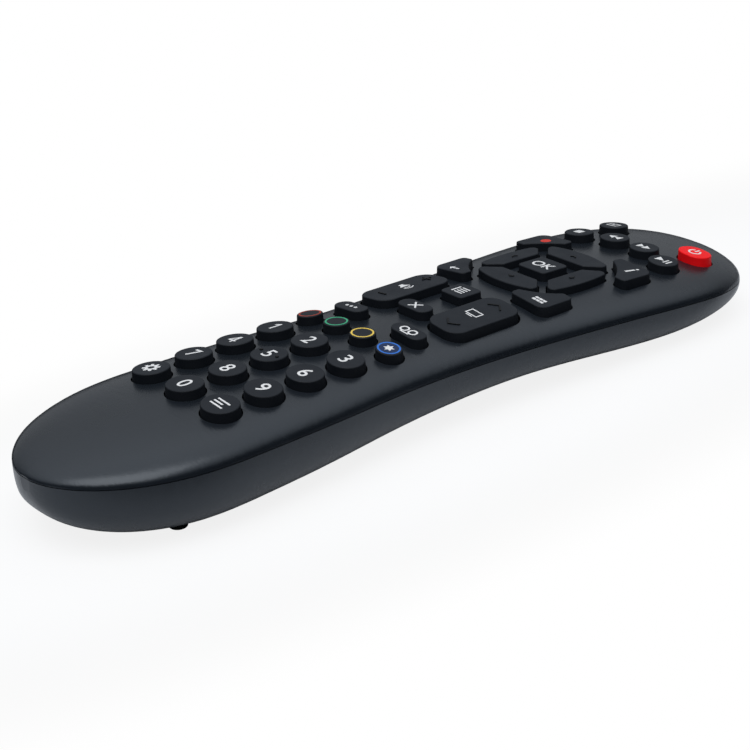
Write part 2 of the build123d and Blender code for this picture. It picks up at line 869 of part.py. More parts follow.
finish(infrared_emitter.part, "infrared_emitter")

# Screws under the near feet, and four feet
with BuildPart() as housing_screws:
    with BuildSketch(Plane.XY.offset(screw_head_z)):
        with Locations(*near_feet):
            Circle(screw_head_diameter / 2)
    extrude(amount=-screw_head_height)
    with BuildSketch(Plane.XY.offset(screw_head_z)):
        with Locations(*near_feet):
            Circle(screw_diameter / 2)
    extrude(amount=fair(near_foot_y, parting_line) + screw_bite - screw_head_z)
finish(housing_screws.part, "housing_screws")

with BuildPart() as rubber_feet:
    for x, y in near_feet + far_feet:
        with BuildSketch():
            with Locations((x, y)):
                Circle(foot_diameter / 2)
        extrude(amount=keel_height(x, y) + foot_sink)
    fillet(rubber_feet.faces().sort_by(Axis.Z)[0:4].edges(), foot_edge)
finish(rubber_feet.part, "rubber_feet")
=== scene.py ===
import bpy
import math
from mathutils import Matrix, Vector


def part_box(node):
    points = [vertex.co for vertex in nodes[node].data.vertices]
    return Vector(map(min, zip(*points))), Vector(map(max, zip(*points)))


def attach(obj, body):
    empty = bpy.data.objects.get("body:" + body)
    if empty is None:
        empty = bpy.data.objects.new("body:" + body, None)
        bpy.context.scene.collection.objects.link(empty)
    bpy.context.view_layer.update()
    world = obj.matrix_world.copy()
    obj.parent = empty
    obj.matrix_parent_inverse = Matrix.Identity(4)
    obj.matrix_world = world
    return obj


# A hand-held remote control: matt black soft-touch shells, rubber keys with white print and
# coloured rings, and the parts inside. Sizes are written in millimetres and turned to metres
# with mm.

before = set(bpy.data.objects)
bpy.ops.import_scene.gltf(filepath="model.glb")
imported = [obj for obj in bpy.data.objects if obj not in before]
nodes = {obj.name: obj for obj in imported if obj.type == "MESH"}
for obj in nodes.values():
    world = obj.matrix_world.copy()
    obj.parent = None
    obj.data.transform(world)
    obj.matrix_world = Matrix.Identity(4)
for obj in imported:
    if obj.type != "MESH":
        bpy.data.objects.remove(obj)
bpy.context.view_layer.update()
bpy.ops.object.select_all(action="DESELECT")

mm = 0.001


def linear(colour):
    """An sRGB hex colour as the linear colour that Blender works in."""
    channels = []
    for start in (1, 3, 5):
        value = int(colour[start:start + 2], 16) / 255
        if value <= 0.04045:
            channels.append(value / 12.92)
        else:
            channels.append(((value + 0.055) / 1.055) ** 2.4)
    return (*channels, 1)


def add_node(tree, kind, settings, links):
    """Add a shader node, with its properties and sockets set and its inputs linked."""
    node = tree.nodes.new(kind)
    for name, value in settings.items():
        if isinstance(name, str) and hasattr(node, name):
            setattr(node, name, value)
        else:
            node.inputs[name].default_value = value
    for name, source in links.items():
        tree.links.new(source, node.inputs[name])
    return node


def new_finish(name, colour, roughness, sockets):
    """A material with one principled shader, its constant values on the shader's sockets."""
    material = bpy.data.materials.new(name)
    material.use_nodes = True
    tree = material.node_tree
    shader = tree.nodes["Principled BSDF"]
    shader.inputs["Base Color"].default_value = linear(colour)
    shader.inputs["Roughness"].default_value = roughness
    for socket, value in sockets.items():
        shader.inputs[socket].default_value = value
    return material, tree, shader


def per_metre(size):
    """Pattern scale at which one cell of the pattern is size millimetres across."""
    return 1 / (size * mm)


# Numbers of the sockets that Blender's colour mix takes and gives
mix_factor = 0
mix_first = 6
mix_second = 7
mix_result = 2


def object_place(tree):
    """The place on the object, on which every pattern is drawn."""
    return add_node(tree, "ShaderNodeTexCoord", {}, {}).outputs["Object"]


def add_grain(tree, shader, place, grain, depth):
    """The fine pits of a spark-eroded mould, pressed into the whole surface."""
    pits = add_node(
        tree,
        "ShaderNodeTexNoise",
        {"Scale": per_metre(grain), "Detail": 3.0, "Roughness": 0.6},
        {"Vector": place},
    )
    bump = add_node(
        tree,
        "ShaderNodeBump",
        {"Strength": 1.0, "Distance": depth * mm},
        {"Height": pits.outputs["Fac"]},
    )
    tree.links.new(bump.outputs["Normal"], shader.inputs["Normal"])
    return pits


def add_handling(tree, shader, place, patch, low_roughness, high_roughness):
    """Slightly shinier patches, as hands leave them on a matt surface."""
    patches = add_node(
        tree,
        "ShaderNodeTexNoise",
        {"Scale": per_metre(patch), "Detail": 4.0, "Roughness": 0.55},
        {"Vector": place},
    )
    sheen_range = add_node(
        tree,
        "ShaderNodeMapRange",
        {
            "From Min": 0.3,
            "From Max": 0.7,
            "To Min": low_roughness,
            "To Max": high_roughness,
        },
        {"Value": patches.outputs["Fac"]},
    )
    tree.links.new(sheen_range.outputs["Result"], shader.inputs["Roughness"])
    return patches


# Width and depth of each surface's texture, and the size of the patches that hands leave, in
# millimetres. The coating's texture is really about 0.1 mm wide and the rubber's 0.08 mm; both
# are drawn larger, to show in a render.
coating_grain = 0.35
coating_depth = 0.012
coating_patch = 32
rubber_grain = 0.3
rubber_depth = 0.01
rubber_patch = 6
ink_grain = 0.5
ink_depth = 0.004
plating_grain = 0.6
plating_depth = 0.003
window_grain = 4
window_depth = 0.006
window_patch = 7
board_grain = 0.8
board_depth = 0.004
chip_grain = 0.4
chip_depth = 0.01
parts_grain = 0.5
parts_depth = 0.01
emitter_grain = 2
emitter_depth = 0.004
sleeve_grain = 1.5
sleeve_depth = 0.006


def soft_touch_abs(name, colour, worn_colour, low_roughness, high_roughness):
    """ABS with a soft-touch coating: dead matt, with a broad dim highlight on its edges."""
    # The coating's sheen is a little bluish
    sheen = {"IOR": 1.5, "Specular IOR Level": 0.5, "Specular Tint": linear("#eef6ff")}
    material, tree, shader = new_finish(name, colour, high_roughness, sheen)
    place = object_place(tree)
    pits = add_grain(tree, shader, place, coating_grain, coating_depth)
    patches = add_handling(tree, shader, place, coating_patch, low_roughness, high_roughness)
    speckle = add_node(
        tree,
        "ShaderNodeMath",
        {"operation": "MULTIPLY"},
        {0: patches.outputs["Fac"], 1: pits.outputs["Fac"]},
    )
    blend = add_node(
        tree,
        "ShaderNodeMapRange",
        {"From Min": 0.15, "From Max": 0.4},
        {"Value": speckle.outputs["Value"]},
    )
    shade = add_node(
        tree,
        "ShaderNodeMix",
        {"data_type": "RGBA", mix_first: linear(colour), mix_second: linear(worn_colour)},
        {mix_factor: blend.outputs["Result"]},
    )
    tree.links.new(shade.outputs[mix_result], shader.inputs["Base Color"])
    return material


def silicone_rubber(name, top_colour, painted_wall_colour, roughness):
    """Moulded silicone: a matt textured top, and walls given a colour of their own as painted
    shade or painted glow.
    """
    material, tree, shader = new_finish(
        name, top_colour, roughness, {"IOR": 1.41, "Specular IOR Level": 0.25}
    )
    place = object_place(tree)
    add_grain(tree, shader, place, rubber_grain, rubber_depth)
    add_handling(tree, shader, place, rubber_patch, roughness - 0.08, roughness + 0.06)
    # Faces turned away from straight up get the wall colour: painted shade where it is darker than
    # the top, painted glow on the red key
    facing = add_node(tree, "ShaderNodeNewGeometry", {}, {}).outputs["Normal"]
    upward = add_node(tree, "ShaderNodeSeparateXYZ", {}, {"Vector": facing}).outputs["Z"]
    top_share = add_node(
        tree,
        "ShaderNodeMapRange",
        {"From Min": 0.35, "From Max": 0.85},
        {"Value": upward},
    )
    shade = add_node(
        tree,
        "ShaderNodeMix",
        {"data_type": "RGBA", mix_first: linear(painted_wall_colour), mix_second: linear(top_colour)},
        {mix_factor: top_share.outputs["Result"]},
    )
    tree.links.new(shade.outputs[mix_result], shader.inputs["Base Color"])
    return material


def screen_ink(name, colour, shade_colour, roughness):
    """Screen-printed ink: flat and thin, a little uneven in cover."""
    material, tree, shader = new_finish(
        name, colour, roughness, {"IOR": 1.48, "Specular IOR Level": 0.3}
    )
    pits = add_grain(tree, shader, object_place(tree), ink_grain, ink_depth)
    cover = add_node(
        tree,
        "ShaderNodeMix",
        {"data_type": "RGBA", mix_first: linear(shade_colour), mix_second: linear(colour)},
        {mix_factor: pits.outputs["Fac"]},
    )
    tree.links.new(cover.outputs[mix_result], shader.inputs["Base Color"])
    return material


def plated_metal(name, colour, stain_colour, roughness, patch):
    """Plated sheet or wire: bright, with faint stains where the plating was handled."""
    material, tree, shader = new_finish(name, colour, roughness, {"Metallic": 1.0})
    place = object_place(tree)
    add_grain(tree, shader, place, plating_grain, plating_depth)
    patches = add_handling(tree, shader, place, patch, roughness, roughness + 0.15)
    stain = add_node(
        tree,
        "ShaderNodeMix",
        {"data_type": "RGBA", mix_first: linear(colour), mix_second: linear(stain_colour)},
        {mix_factor: patches.outputs["Fac"]},
    )
    tree.links.new(stain.outputs[mix_result], shader.inputs["Base Color"])
    return material


# Soft-touch coated ABS swallows most light, so the shells read as one dark grey
shell_roughness = (0.24, 0.31)
upper_shell_finish = soft_touch_abs("soft_touch_abs_upper", "#11151a", "#151a20", *shell_roughness)
lower_shell_finish = soft_touch_abs("soft_touch_abs_lower", "#0f1318", "#13181e", *shell_roughness)

# Silicone keys are blacker than the shells and have the same dull top. Every rubber here has a
# second colour for its walls: painted shade, or on the red key painted glow
key_finish = silicone_rubber("silicone_rubber_black", "#1a1e24", "#0e1218", 0.6)
# Moulded marks are coloured near black, a painted shade standing in for the dark walls and hollows
# of the marks
painted_shade_mark_finish = silicone_rubber("silicone_rubber_painted_shade_mark", "#06080b", "#040507", 0.5)
mat_finish = silicone_rubber("silicone_rubber_grey_mat", "#3b3e42", "#303336", 0.62)
# The red key's walls are full red: a painted glow standing in for light that passes through the
# rubber
power_finish = silicone_rubber("silicone_rubber_red", "#ff1c22", "#ff1018", 0.5)
foot_finish = silicone_rubber("nitrile_rubber_foot", "#17181a", "#101113", 0.7)

# Prints on the keys
ink_roughness = 0.5
white_ink = screen_ink("screen_ink_white", "#f4f5f6", "#e2e4e6", ink_roughness)
red_ink = screen_ink("screen_ink_red", "#a8402d", "#963826", ink_roughness)
green_ink = screen_ink("screen_ink_green", "#3fae83", "#369a72", ink_roughness)
yellow_ink = screen_ink("screen_ink_yellow", "#f6d968", "#e8c552", ink_roughness)
blue_ink = screen_ink("screen_ink_blue", "#3a7cdc", "#3070cc", ink_roughness)
navy_ink = screen_ink("screen_ink_navy", "#142c55", "#10254a", ink_roughness)
record_ink = screen_ink("screen_ink_record_red", "#e03a2c", "#c83226", ink_roughness)

# Plated metal inside
nickel_finish = plated_metal("nickel_plated_spring_steel", "#c9c4b8", "#a9a294", 0.28, 5)
zinc_finish = plated_metal("zinc_plated_steel_screw", "#b8bcc0", "#9aa0a8", 0.32, 2)

# Dark polycarbonate that passes infrared: glossy, black with a wine-red depth
window_finish, window_tree, window_shader = new_finish(
    "polycarbonate_infrared_window", "#16070b", 0.12, {"IOR": 1.585, "Coat Weight": 0.4}
)
window_place = object_place(window_tree)
add_grain(window_tree, window_shader, window_place, window_grain, window_depth)
add_handling(window_tree, window_shader, window_place, window_patch, 0.08, 0.18)

# FR-4 laminate under a green solder mask, with copper tracks beneath it
track_pitch = 1.27
track_rows = 4
board_finish, board_tree, board_shader = new_finish(
    "fr4_laminate_green_mask", "#0f4b2c", 0.38, {"IOR": 1.52}
)
board_place = object_place(board_tree)
add_grain(board_tree, board_shader, board_place, board_grain, board_depth)
board_tracks = add_node(
    board_tree,
    "ShaderNodeTexBrick",
    {
        "Color1": linear("#0e4a2b"),
        "Color2": linear("#104f2f"),
        "Mortar": linear("#2c7a4b"),
        "Scale": per_metre(track_pitch * track_rows),
        "Mortar Size": 0.05,
        "Mortar Smooth": 0.1,
        "Brick Width": 2.4,
        "Row Height": 1 / track_rows,
    },
    {"Vector": board_place},
)
board_tree.links.new(board_tracks.outputs["Color"], board_shader.inputs["Base Color"])

# Moulded epoxy chip body; its legs, outside the body's 7.6 mm width, are tinned
chip_leg_x = 3.82
chip_finish, chip_tree, chip_shader = new_finish("epoxy_chip_tinned_legs", "#151517", 0.5, {})
chip_place = object_place(chip_tree)
add_grain(chip_tree, chip_shader, chip_place, chip_grain, chip_depth)
chip_across = add_node(chip_tree, "ShaderNodeSeparateXYZ", {}, {"Vector": chip_place})
chip_side = add_node(
    chip_tree, "ShaderNodeMath", {"operation": "ABSOLUTE"}, {0: chip_across.outputs["X"]}
)
chip_leg = add_node(
    chip_tree,
    "ShaderNodeMath",
    {"operation": "GREATER_THAN", 1: chip_leg_x * mm},
    {0: chip_side.outputs["Value"]},
)
chip_colour = add_node(
    chip_tree,
    "ShaderNodeMix",
    {"data_type": "RGBA", mix_first: linear("#151517"), mix_second: linear("#b9bbb8")},
    {mix_factor: chip_leg.outputs["Value"]},
)
chip_tree.links.new(chip_colour.outputs[mix_result], chip_shader.inputs["Base Color"])
chip_tree.links.new(chip_leg.outputs["Value"], chip_shader.inputs["Metallic"])

# Small parts on the board: one dark sleeve and brown ceramic bodies, told apart by place
sleeve_from_y = 11
parts_finish, parts_tree, parts_shader = new_finish(
    "sleeved_capacitor_and_ceramic", "#1d2026", 0.4, {}
)
parts_place = object_place(parts_tree)
add_grain(parts_tree, parts_shader, parts_place, parts_grain, parts_depth)
parts_split = add_node(parts_tree, "ShaderNodeSeparateXYZ", {}, {"Vector": parts_place})
parts_beyond = add_node(
    parts_tree,
    "ShaderNodeMath",
    {"operation": "GREATER_THAN", 1: sleeve_from_y * mm},
    {0: parts_split.outputs["Y"]},
)
parts_colour = add_node(
    parts_tree,
    "ShaderNodeMix",
    {"data_type": "RGBA", mix_first: linear("#8a5a2b"), mix_second: linear("#1c2130")},
    {mix_factor: parts_beyond.outputs["Value"]},
)
parts_tree.links.new(parts_colour.outputs[mix_result], parts_shader.inputs["Base Color"])

# Clear epoxy emitter with a faint blue cast
emitter_finish, emitter_tree, emitter_shader = new_finish(
    "clear_epoxy_emitter", "#c8d2e4", 0.08, {"IOR": 1.55, "Transmission Weight": 0.85}
)
emitter_place = object_place(emitter_tree)
add_grain(emitter_tree, emitter_shader, emitter_place, emitter_grain, emitter_depth)

# Cells: a plain dark sleeve between pale bands and bare steel ends, told apart by the share
# of the half length from the cell's middle
pale_band_share = 0.62
steel_end_share = 0.95
cell_low, cell_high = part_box("cell_left")
cell_finish, cell_tree, cell_shader = new_finish("pet_sleeve_and_steel_cell", "#2b4a63", 0.35, {})
cell_place = object_place(cell_tree)
add_grain(cell_tree, cell_shader, cell_place, sleeve_grain, sleeve_depth)
cell_along = add_node(cell_tree, "ShaderNodeSeparateXYZ", {}, {"Vector": cell_place})
cell_middle = (cell_low[1] + cell_high[1]) / 2
cell_from_middle = add_node(
    cell_tree,
    "ShaderNodeMath",
    {"operation": "SUBTRACT", 1: cell_middle},
    {0: cell_along.outputs["Y"]},
)
cell_reach = add_node(
    cell_tree,
    "ShaderNodeMath",
    {"operation": "ABSOLUTE"},
    {0: cell_from_middle.outputs["Value"]},
)
cell_bands = add_node(cell_tree, "ShaderNodeValToRGB", {}, {})
cell_share = add_node(
    cell_tree,
    "ShaderNodeMath",
    {"operation": "DIVIDE", 1: (cell_high[1] - cell_low[1]) / 2},
    {0: cell_reach.outputs["Value"]},
)
cell_tree.links.new(cell_share.outputs["Value"], cell_bands.inputs["Fac"])
bands = cell_bands.color_ramp
bands.interpolation = "CONSTANT"
bands.elements[0].color = linear("#2b4a63")
bands.elements[1].position = pale_band_share
bands.elements[1].color = linear("#d7dade")
steel_end = bands.elements.new(steel_end_share)
steel_end.color = linear("#b4b7ba")
cell_tree.links.new(cell_bands.outputs["Color"], cell_shader.inputs["Base Color"])
cell_metal = add_node(
    cell_tree,
    "ShaderNodeMath",
    {"operation": "GREATER_THAN", 1: steel_end_share},
    {0: cell_share.outputs["Value"]},
)
cell_tree.links.new(cell_metal.outputs["Value"], cell_shader.inputs["Metallic"])

finish_of = {
    "upper_housing": upper_shell_finish,
    "lower_housing": lower_shell_finish,
    "battery_cover": lower_shell_finish,
    "emitter_window": window_finish,
    "keypad_mat": mat_finish,
    "circuit_board": board_finish,
    "controller_chip": chip_finish,
    "board_components": parts_finish,
    "infrared_emitter": emitter_finish,
    "battery_contacts": nickel_finish,
    "housing_screws": zinc_finish,
    "rubber_feet": foot_finish,
    "cell_left": cell_finish,
    "cell_right": cell_finish,
    "key_power": power_finish,
}
for name, node in nodes.items():
    finish = finish_of.get(name, key_finish)
    if not node.material_slots:
        node.data.materials.append(finish)
    for slot in node.material_slots:
        slot.material = finish


# Prints and moulded marks on the key tops, drawn one unit to the millimetre
print_thickness = 0.04
print_sink = 0.01
mark_height = 0.3
weld_gap = 0.0001
least_upward = 0.8


def key_top(name):
    """Place of a key's flat top: its middle, across the remote, along it, and out of it."""
    mesh = nodes[name].data
    upward_faces = [face for face in mesh.polygons if face.normal.z > least_upward]
    flat = max(upward_faces, key=lambda face: face.area)
    low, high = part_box(name)
    x = (low[0] + high[0]) / 2
    y = (low[1] + high[1]) / 2
    out = flat.normal.normalized()
    lift = (x - flat.center.x) * out.x + (y - flat.center.y) * out.y
    z = flat.center.z - lift / out.z
    across = Vector((out.z, 0, -out.x)).normalized()
    along = out.cross(across)
    turn = Matrix((across, along, out)).transposed().to_4x4()
    return Matrix.Translation((x, y, z)) @ turn


def lay_on_key(piece, name, x, y, finish):
    """Lay a flat piece on a key's top, x and y from its middle, and let it ride with it."""
    bpy.ops.object.select_all(action="DESELECT")
    piece.select_set(True)
    bpy.context.view_layer.objects.active = piece
    shift = Matrix.Translation((x, y, -print_sink))
    piece.matrix_world = key_top(name) @ Matrix.Scale(mm, 4) @ shift
    bpy.ops.object.transform_apply(location=True, rotation=True, scale=True)
    piece.data.materials.clear()
    piece.data.materials.append(finish)
    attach(piece, f"{name}_body")


def close_up(piece):
    """Weld a piece that was a curve, and point its faces outwards."""
    bpy.ops.object.select_all(action="DESELECT")
    piece.select_set(True)
    bpy.context.view_layer.objects.active = piece
    bpy.ops.object.mode_set(mode="EDIT")
    bpy.ops.mesh.select_all(action="SELECT")
    bpy.ops.mesh.remove_doubles(threshold=weld_gap)
    bpy.ops.mesh.normals_make_consistent(inside=False)
    bpy.ops.object.mode_set(mode="OBJECT")


def stand_up(piece, thickness):
    """Turn a flat curve or word into a closed mesh whose underside is at its own origin."""
    bpy.ops.object.select_all(action="DESELECT")
    piece.select_set(True)
    bpy.context.view_layer.objects.active = piece
    bpy.ops.object.convert(target="MESH")
    piece = bpy.context.view_layer.objects.active
    bpy.ops.object.mode_set(mode="EDIT")
    bpy.ops.mesh.select_all(action="SELECT")
    bpy.ops.transform.translate(value=(0, 0, thickness / 2))
    bpy.ops.object.mode_set(mode="OBJECT")
    close_up(piece)
    return piece


def plate(name, outlines, thickness):
    """A flat plate standing on its own origin, from closed outlines; an inner one is a hole."""
    outline = bpy.data.curves.new(name, "CURVE")
    outline.dimensions = "2D"
    outline.fill_mode = "BOTH"
    outline.extrude = thickness / 2
    for points in outlines:
        spline = outline.splines.new("POLY")
        spline.points.add(len(points) - 1)
        for point, (x, y) in zip(spline.points, points):
            point.co = (x, y, 0, 1)
        spline.use_cyclic_u = True
    piece = bpy.data.objects.new(name, outline)
    bpy.context.scene.collection.objects.link(piece)
    return stand_up(piece, thickness)


def letters(name, body, size, slant, weight):
    """Printed figures, thickened by weight, their outline centred on their own origin."""
    bpy.ops.object.select_all(action="DESELECT")
    bpy.ops.object.text_add(location=(0, 0, 0))
    piece = bpy.context.object
    piece.name = name
    piece.data.body = body
    piece.data.size = size
    piece.data.shear = slant
    piece.data.offset = weight
    piece.data.extrude = print_thickness / 2
    piece = stand_up(piece, print_thickness)
    middle = sum((Vector(corner) for corner in piece.bound_box), Vector()) / 8
    piece.data.transform(Matrix.Translation((-middle.x, -middle.y, 0)))
    return piece


round_points = 48
bow_points = 20


def arc(radius, start, end, count, x=0):
    """Points along an arc about x, 0, from one angle in degrees to another."""
    points = []
    for k in range(count + 1):
        angle = math.radians(start + (end - start) * k / count)
        points.append((x + radius * math.cos(angle), radius * math.sin(angle)))
    return points


def circle(radius, x=0):
    """Points round a whole circle about x, 0."""
    return arc(radius, 0, 360 - 360 / round_points, round_points - 1, x)


def bar(width, height, x=0, y=0):
    """Corners of an upright bar."""
    return [
        (x - width / 2, y - height / 2),
        (x + width / 2, y - height / 2),
        (x + width / 2, y + height / 2),
        (x - width / 2, y + height / 2),
    ]


def cross(reach, width):
    """An upright cross with four equal arms."""
    half = width / 2
    return [
        (half, half), (reach, half), (reach, -half),
        (half, -half), (half, -reach), (-half, -reach),
        (-half, -half), (-reach, -half), (-reach, half),
        (-half, half), (-half, reach), (half, reach),
    ]


def bow(radius, width, start, end, x=0):
    """A bent bar along an arc about x, 0."""
    outside = arc(radius + width / 2, start, end, bow_points, x)
    inside = arc(radius - width / 2, end, start, bow_points, x)
    return outside + inside


def vee(reach, depth, width):
    """A chevron that points along +y, its tip at the origin."""
    rise = width * math.hypot(reach, depth) / reach
    return [
        (0, 0),
        (-reach, -depth),
        (-reach, -depth - rise),
        (0, -rise),
        (reach, -depth - rise),
        (reach, -depth),
    ]


def turned(points, degrees):
    """Points turned about the origin."""
    cosine = math.cos(math.radians(degrees))
    sine = math.sin(math.radians(degrees))
    return [(x * cosine - y * sine, x * sine + y * cosine) for x, y in points]


def star(points, outer, inner):
    """A star with one point along +y."""
    corners = []
    for k in range(2 * points):
        radius = outer if k % 2 == 0 else inner
        angle = math.radians(90 + 180 * k / points)
        corners.append((radius * math.cos(angle), radius * math.sin(angle)))
    return corners


def gear(teeth, outer, root):
    """A toothed wheel's outline."""
    corners = []
    step = 360 / teeth
    for k in range(teeth):
        for share, radius in ((-0.36, root), (-0.2, outer), (0.2, outer), (0.36, root)):
            angle = math.radians(90 + step * (k + share))
            corners.append((radius * math.cos(angle), radius * math.sin(angle)))
    return corners


# Prints that don't sit in the middle of their key
sign_place = {
    "key_ok": (0.2, 0),
    "key_info": (1.9, 1.6),
    "key_record": (-0.2, 0.9),
    "key_guide": (1.9, -2.6),
    "key_back": (0.2, -3.2),
    "volume_rocker": (-0.6, 0.4),
    "channel_rocker": (-0.6, 0.4),
}

# Figures on the number keys, the word on the middle key, the letter outside the pad's corner
figure_size = 5.8
word_size = 4.8
info_size = 6.6
info_slant = 0.25
ink_spread = 0.045
word_spread = 0.06
for figure in "02356789":
    sign = letters(f"figure_{figure}", figure, figure_size, 0, ink_spread)
    lay_on_key(sign, f"key_{figure}", 0, 0, white_ink)
word = letters("word_ok", "OK", word_size, 0, word_spread)
lay_on_key(word, "key_ok", *sign_place["key_ok"], white_ink)
info = letters("figure_info", "i", info_size, info_slant, ink_spread)
lay_on_key(info, "key_info", *sign_place["key_info"], white_ink)

# The other signs: one flat print of one or more closed outlines for each key, x and y in
# millimetres from the sign's own middle. line is the stroke that most of them share.
line = 0.5
star_points = 6
star_outer = 1.5
star_inner = 0.8
signs = {
    "key_1": [
        [(0, -2), (0.6, -2), (0.6, 2), (0.1, 2), (-1, 1.25), (-1, 0.65), (0, 1.25)],
    ],
    "key_4": [
        [
            (0.25, -2), (0.85, -2), (0.85, -1.15), (1.4, -1.15), (1.4, -0.6), (0.85, -0.6),
            (0.85, 2), (0.15, 2), (-1.4, -0.65), (-1.4, -1.15), (0.25, -1.15),
        ],
        [(0.25, -0.6), (0.25, 1.1), (-0.75, -0.6)],
    ],
    "key_settings": [gear(8, 2.3, 1.55), circle(0.85)],
    "key_text": [
        bar(4.4, line, 0, 1.2),
        bar(3.2, line, -0.6, 0),
        bar(4.4, line, 0, -1.2),
    ],
    "key_options": [circle(0.48, -1.7), circle(0.48), circle(0.48, 1.7)],
    "key_recordings": [
        circle(1.35, -1.5),
        circle(0.85, -1.5),
        circle(1.35, 1.5),
        circle(0.85, 1.5),
        bar(3, 0.4, 0, -1.57),
    ],
    "key_exit": [turned(cross(2.0, line), 45)],
    "key_menu": [
        bar(0.45, 3.4, -1.85),
        *[bar(2.9, 0.42, 0.45, y) for y in (1.5, 0.5, -0.5, -1.5)],
    ],
    "key_guide": [bar(1.15, 0.8, x, y) for y in (0.6, -0.6) for x in (-1.35, 0, 1.35)],
    "key_back": [
        [
            (-2.0, 0), (-0.7, 1.1), (-0.7, 0.28), (1.6, 0.28),
            (1.6, -0.28), (-0.7, -0.28), (-0.7, -1.1),
        ],
    ],
    "volume_rocker": [
        [(-1.9, -0.7), (-1.0, -0.7), (0.2, -1.7), (0.2, 1.7), (-1.0, 0.7), (-1.9, 0.7)],
        bow(1.2, 0.35, -50, 50, 0.1),
        bow(2.1, 0.35, -50, 50, 0.1),
    ],
    "channel_rocker": [
        bar(4.2, 2.8, 0, 0.3),
        bar(3.5, 2.1, 0, 0.3),
        bar(2.2, 0.35, 0, -1.6),
    ],
    "key_stop": [bar(2.5, 2.5)],
    "key_rewind": [
        [(-2.1, 0), (0, 1.3), (0, -1.3)],
        [(0.05, 0), (2.15, 1.3), (2.15, -1.3)],
    ],
    "key_forward": [
        [(2.1, 0), (0, -1.3), (0, 1.3)],
        [(-0.05, 0), (-2.15, -1.3), (-2.15, 1.3)],
    ],
    "key_play_pause": [
        [(0.2, 0), (-2.1, -1.4), (-2.1, 1.4)],
        bar(0.5, 2.6, 0.95),
        bar(0.5, 2.6, 2.05),
    ],
    "key_source": [
        bar(3.8, 2.6),
        bar(3.1, 1.9),
        [(-0.5, -0.6), (0.7, 0), (-0.5, 0.6)],
    ],
    "key_power": [bow(1.6, 0.55, 125, 415), bar(0.55, 1.9, 0, 1.15)],
    "key_blue": [star(star_points, star_outer, star_inner)],
}
for name, outlines in signs.items():
    sign = plate(f"sign_{name.removeprefix('key_')}", outlines, print_thickness)
    x, y = sign_place.get(name, (0, 0))
    lay_on_key(sign, name, x, y, white_ink)

# The round red spot over the pad, and the rings on the four colour keys
spot_radius = 1.5
record_spot = plate("spot_record", [circle(spot_radius)], print_thickness)
lay_on_key(record_spot, "key_record", *sign_place["key_record"], record_ink)

ring_outer = 2.95
ring_width = 0.46
for colour, ink in (
    ("red", red_ink),
    ("green", green_ink),
    ("yellow", yellow_ink),
    ("blue", blue_ink),
):
    outlines = [circle(ring_outer), circle(ring_outer - ring_width)]
    ring = plate(f"ring_{colour}", outlines, print_thickness)
    lay_on_key(ring, f"key_{colour}", 0, 0, ink)

# Dark ground inside the blue ring, with a hole for the star
ground_radius = 2.35
star_gap = 0.02
star_hole = star(star_points, star_outer + star_gap, star_inner + star_gap)
star_ground = plate("ground_blue", [circle(ground_radius), star_hole], print_thickness)
lay_on_key(star_ground, "key_blue", 0, 0, navy_ink)


def raised_mark(name, key, outlines, x, y, soften):
    """A mark moulded on a key, with its upper edge rounded off."""
    mark = plate(name, outlines, mark_height)
    bpy.ops.object.select_all(action="DESELECT")
    mark.select_set(True)
    bpy.context.view_layer.objects.active = mark
    rounding = mark.modifiers.new("rounding", "BEVEL")
    rounding.width = soften
    rounding.segments = 2
    rounding.limit_method = "ANGLE"
    bpy.ops.object.modifier_apply(modifier="rounding")
    lay_on_key(mark, key, x, y, painted_shade_mark_finish)


# Moulded marks: chevrons and signs at the rocker ends, small pips on the pad, dots on the 5
mark_softness = 0.06
pip_softness = 0.05
dot_softness = 0.12
chevron = vee(2.3, 1.9, 0.42)
chevron_y = 9.2
pip = vee(0.9, 0.55, 0.4)
dot = circle(0.45)
dot_x = 3.1
minus_place = (-0.4, -7.6)
plus_place = (-0.8, 8.2)
raised_mark("chevron_channel_up", "channel_rocker", [chevron], 0, chevron_y, mark_softness)
chevron_back = turned(chevron, 180)
raised_mark("chevron_channel_down", "channel_rocker", [chevron_back], 0, -chevron_y, mark_softness)
raised_mark("minus_volume", "volume_rocker", [bar(3.0, line)], *minus_place, mark_softness)
raised_mark("plus_volume", "volume_rocker", [cross(1.5, line)], *plus_place, mark_softness)
for name, degrees in (("up", 0), ("left", 90), ("down", 180), ("right", 270)):
    raised_mark(f"pip_{name}", f"key_{name}", [turned(pip, degrees)], 0, 0, pip_softness)
raised_mark("dot_left_5", "key_5", [dot], -dot_x, 0, dot_softness)
raised_mark("dot_right_5", "key_5", [dot], dot_x, 0, dot_softness)


# Camera where the photograph was taken from, aimed between the waist and the number keys
camera_target = Vector((27.48, -31.435, 26.123)) * mm
camera_distance = 471.119 * mm
camera_azimuth = math.radians(50.806)
camera_elevation = math.radians(24.805)
camera_roll = math.radians(-2.611)
camera_lens = 95.97
back = Vector((
    math.sin(camera_azimuth) * math.cos(camera_elevation),
    -math.cos(camera_azimuth) * math.cos(camera_elevation),
    math.sin(camera_elevation),
))
level_right = (-back).cross(Vector((0, 0, 1))).normalized()
level_up = level_right.cross(-back)
camera_right = level_right * math.cos(camera_roll) + level_up * math.sin(camera_roll)
camera_up = level_up * math.cos(camera_roll) - level_right * math.sin(camera_roll)
bpy.ops.object.camera_add()
camera = bpy.context.object
camera.name = "camera"
camera.data.lens = camera_lens
camera.data.sensor_width = 36
camera.data.clip_start = 0.01
camera_turn = Matrix((camera_right, camera_up, back)).transposed().to_4x4()
camera.matrix_world = Matrix.Translation(camera_target + back * camera_distance) @ camera_turn
bpy.context.scene.camera = camera


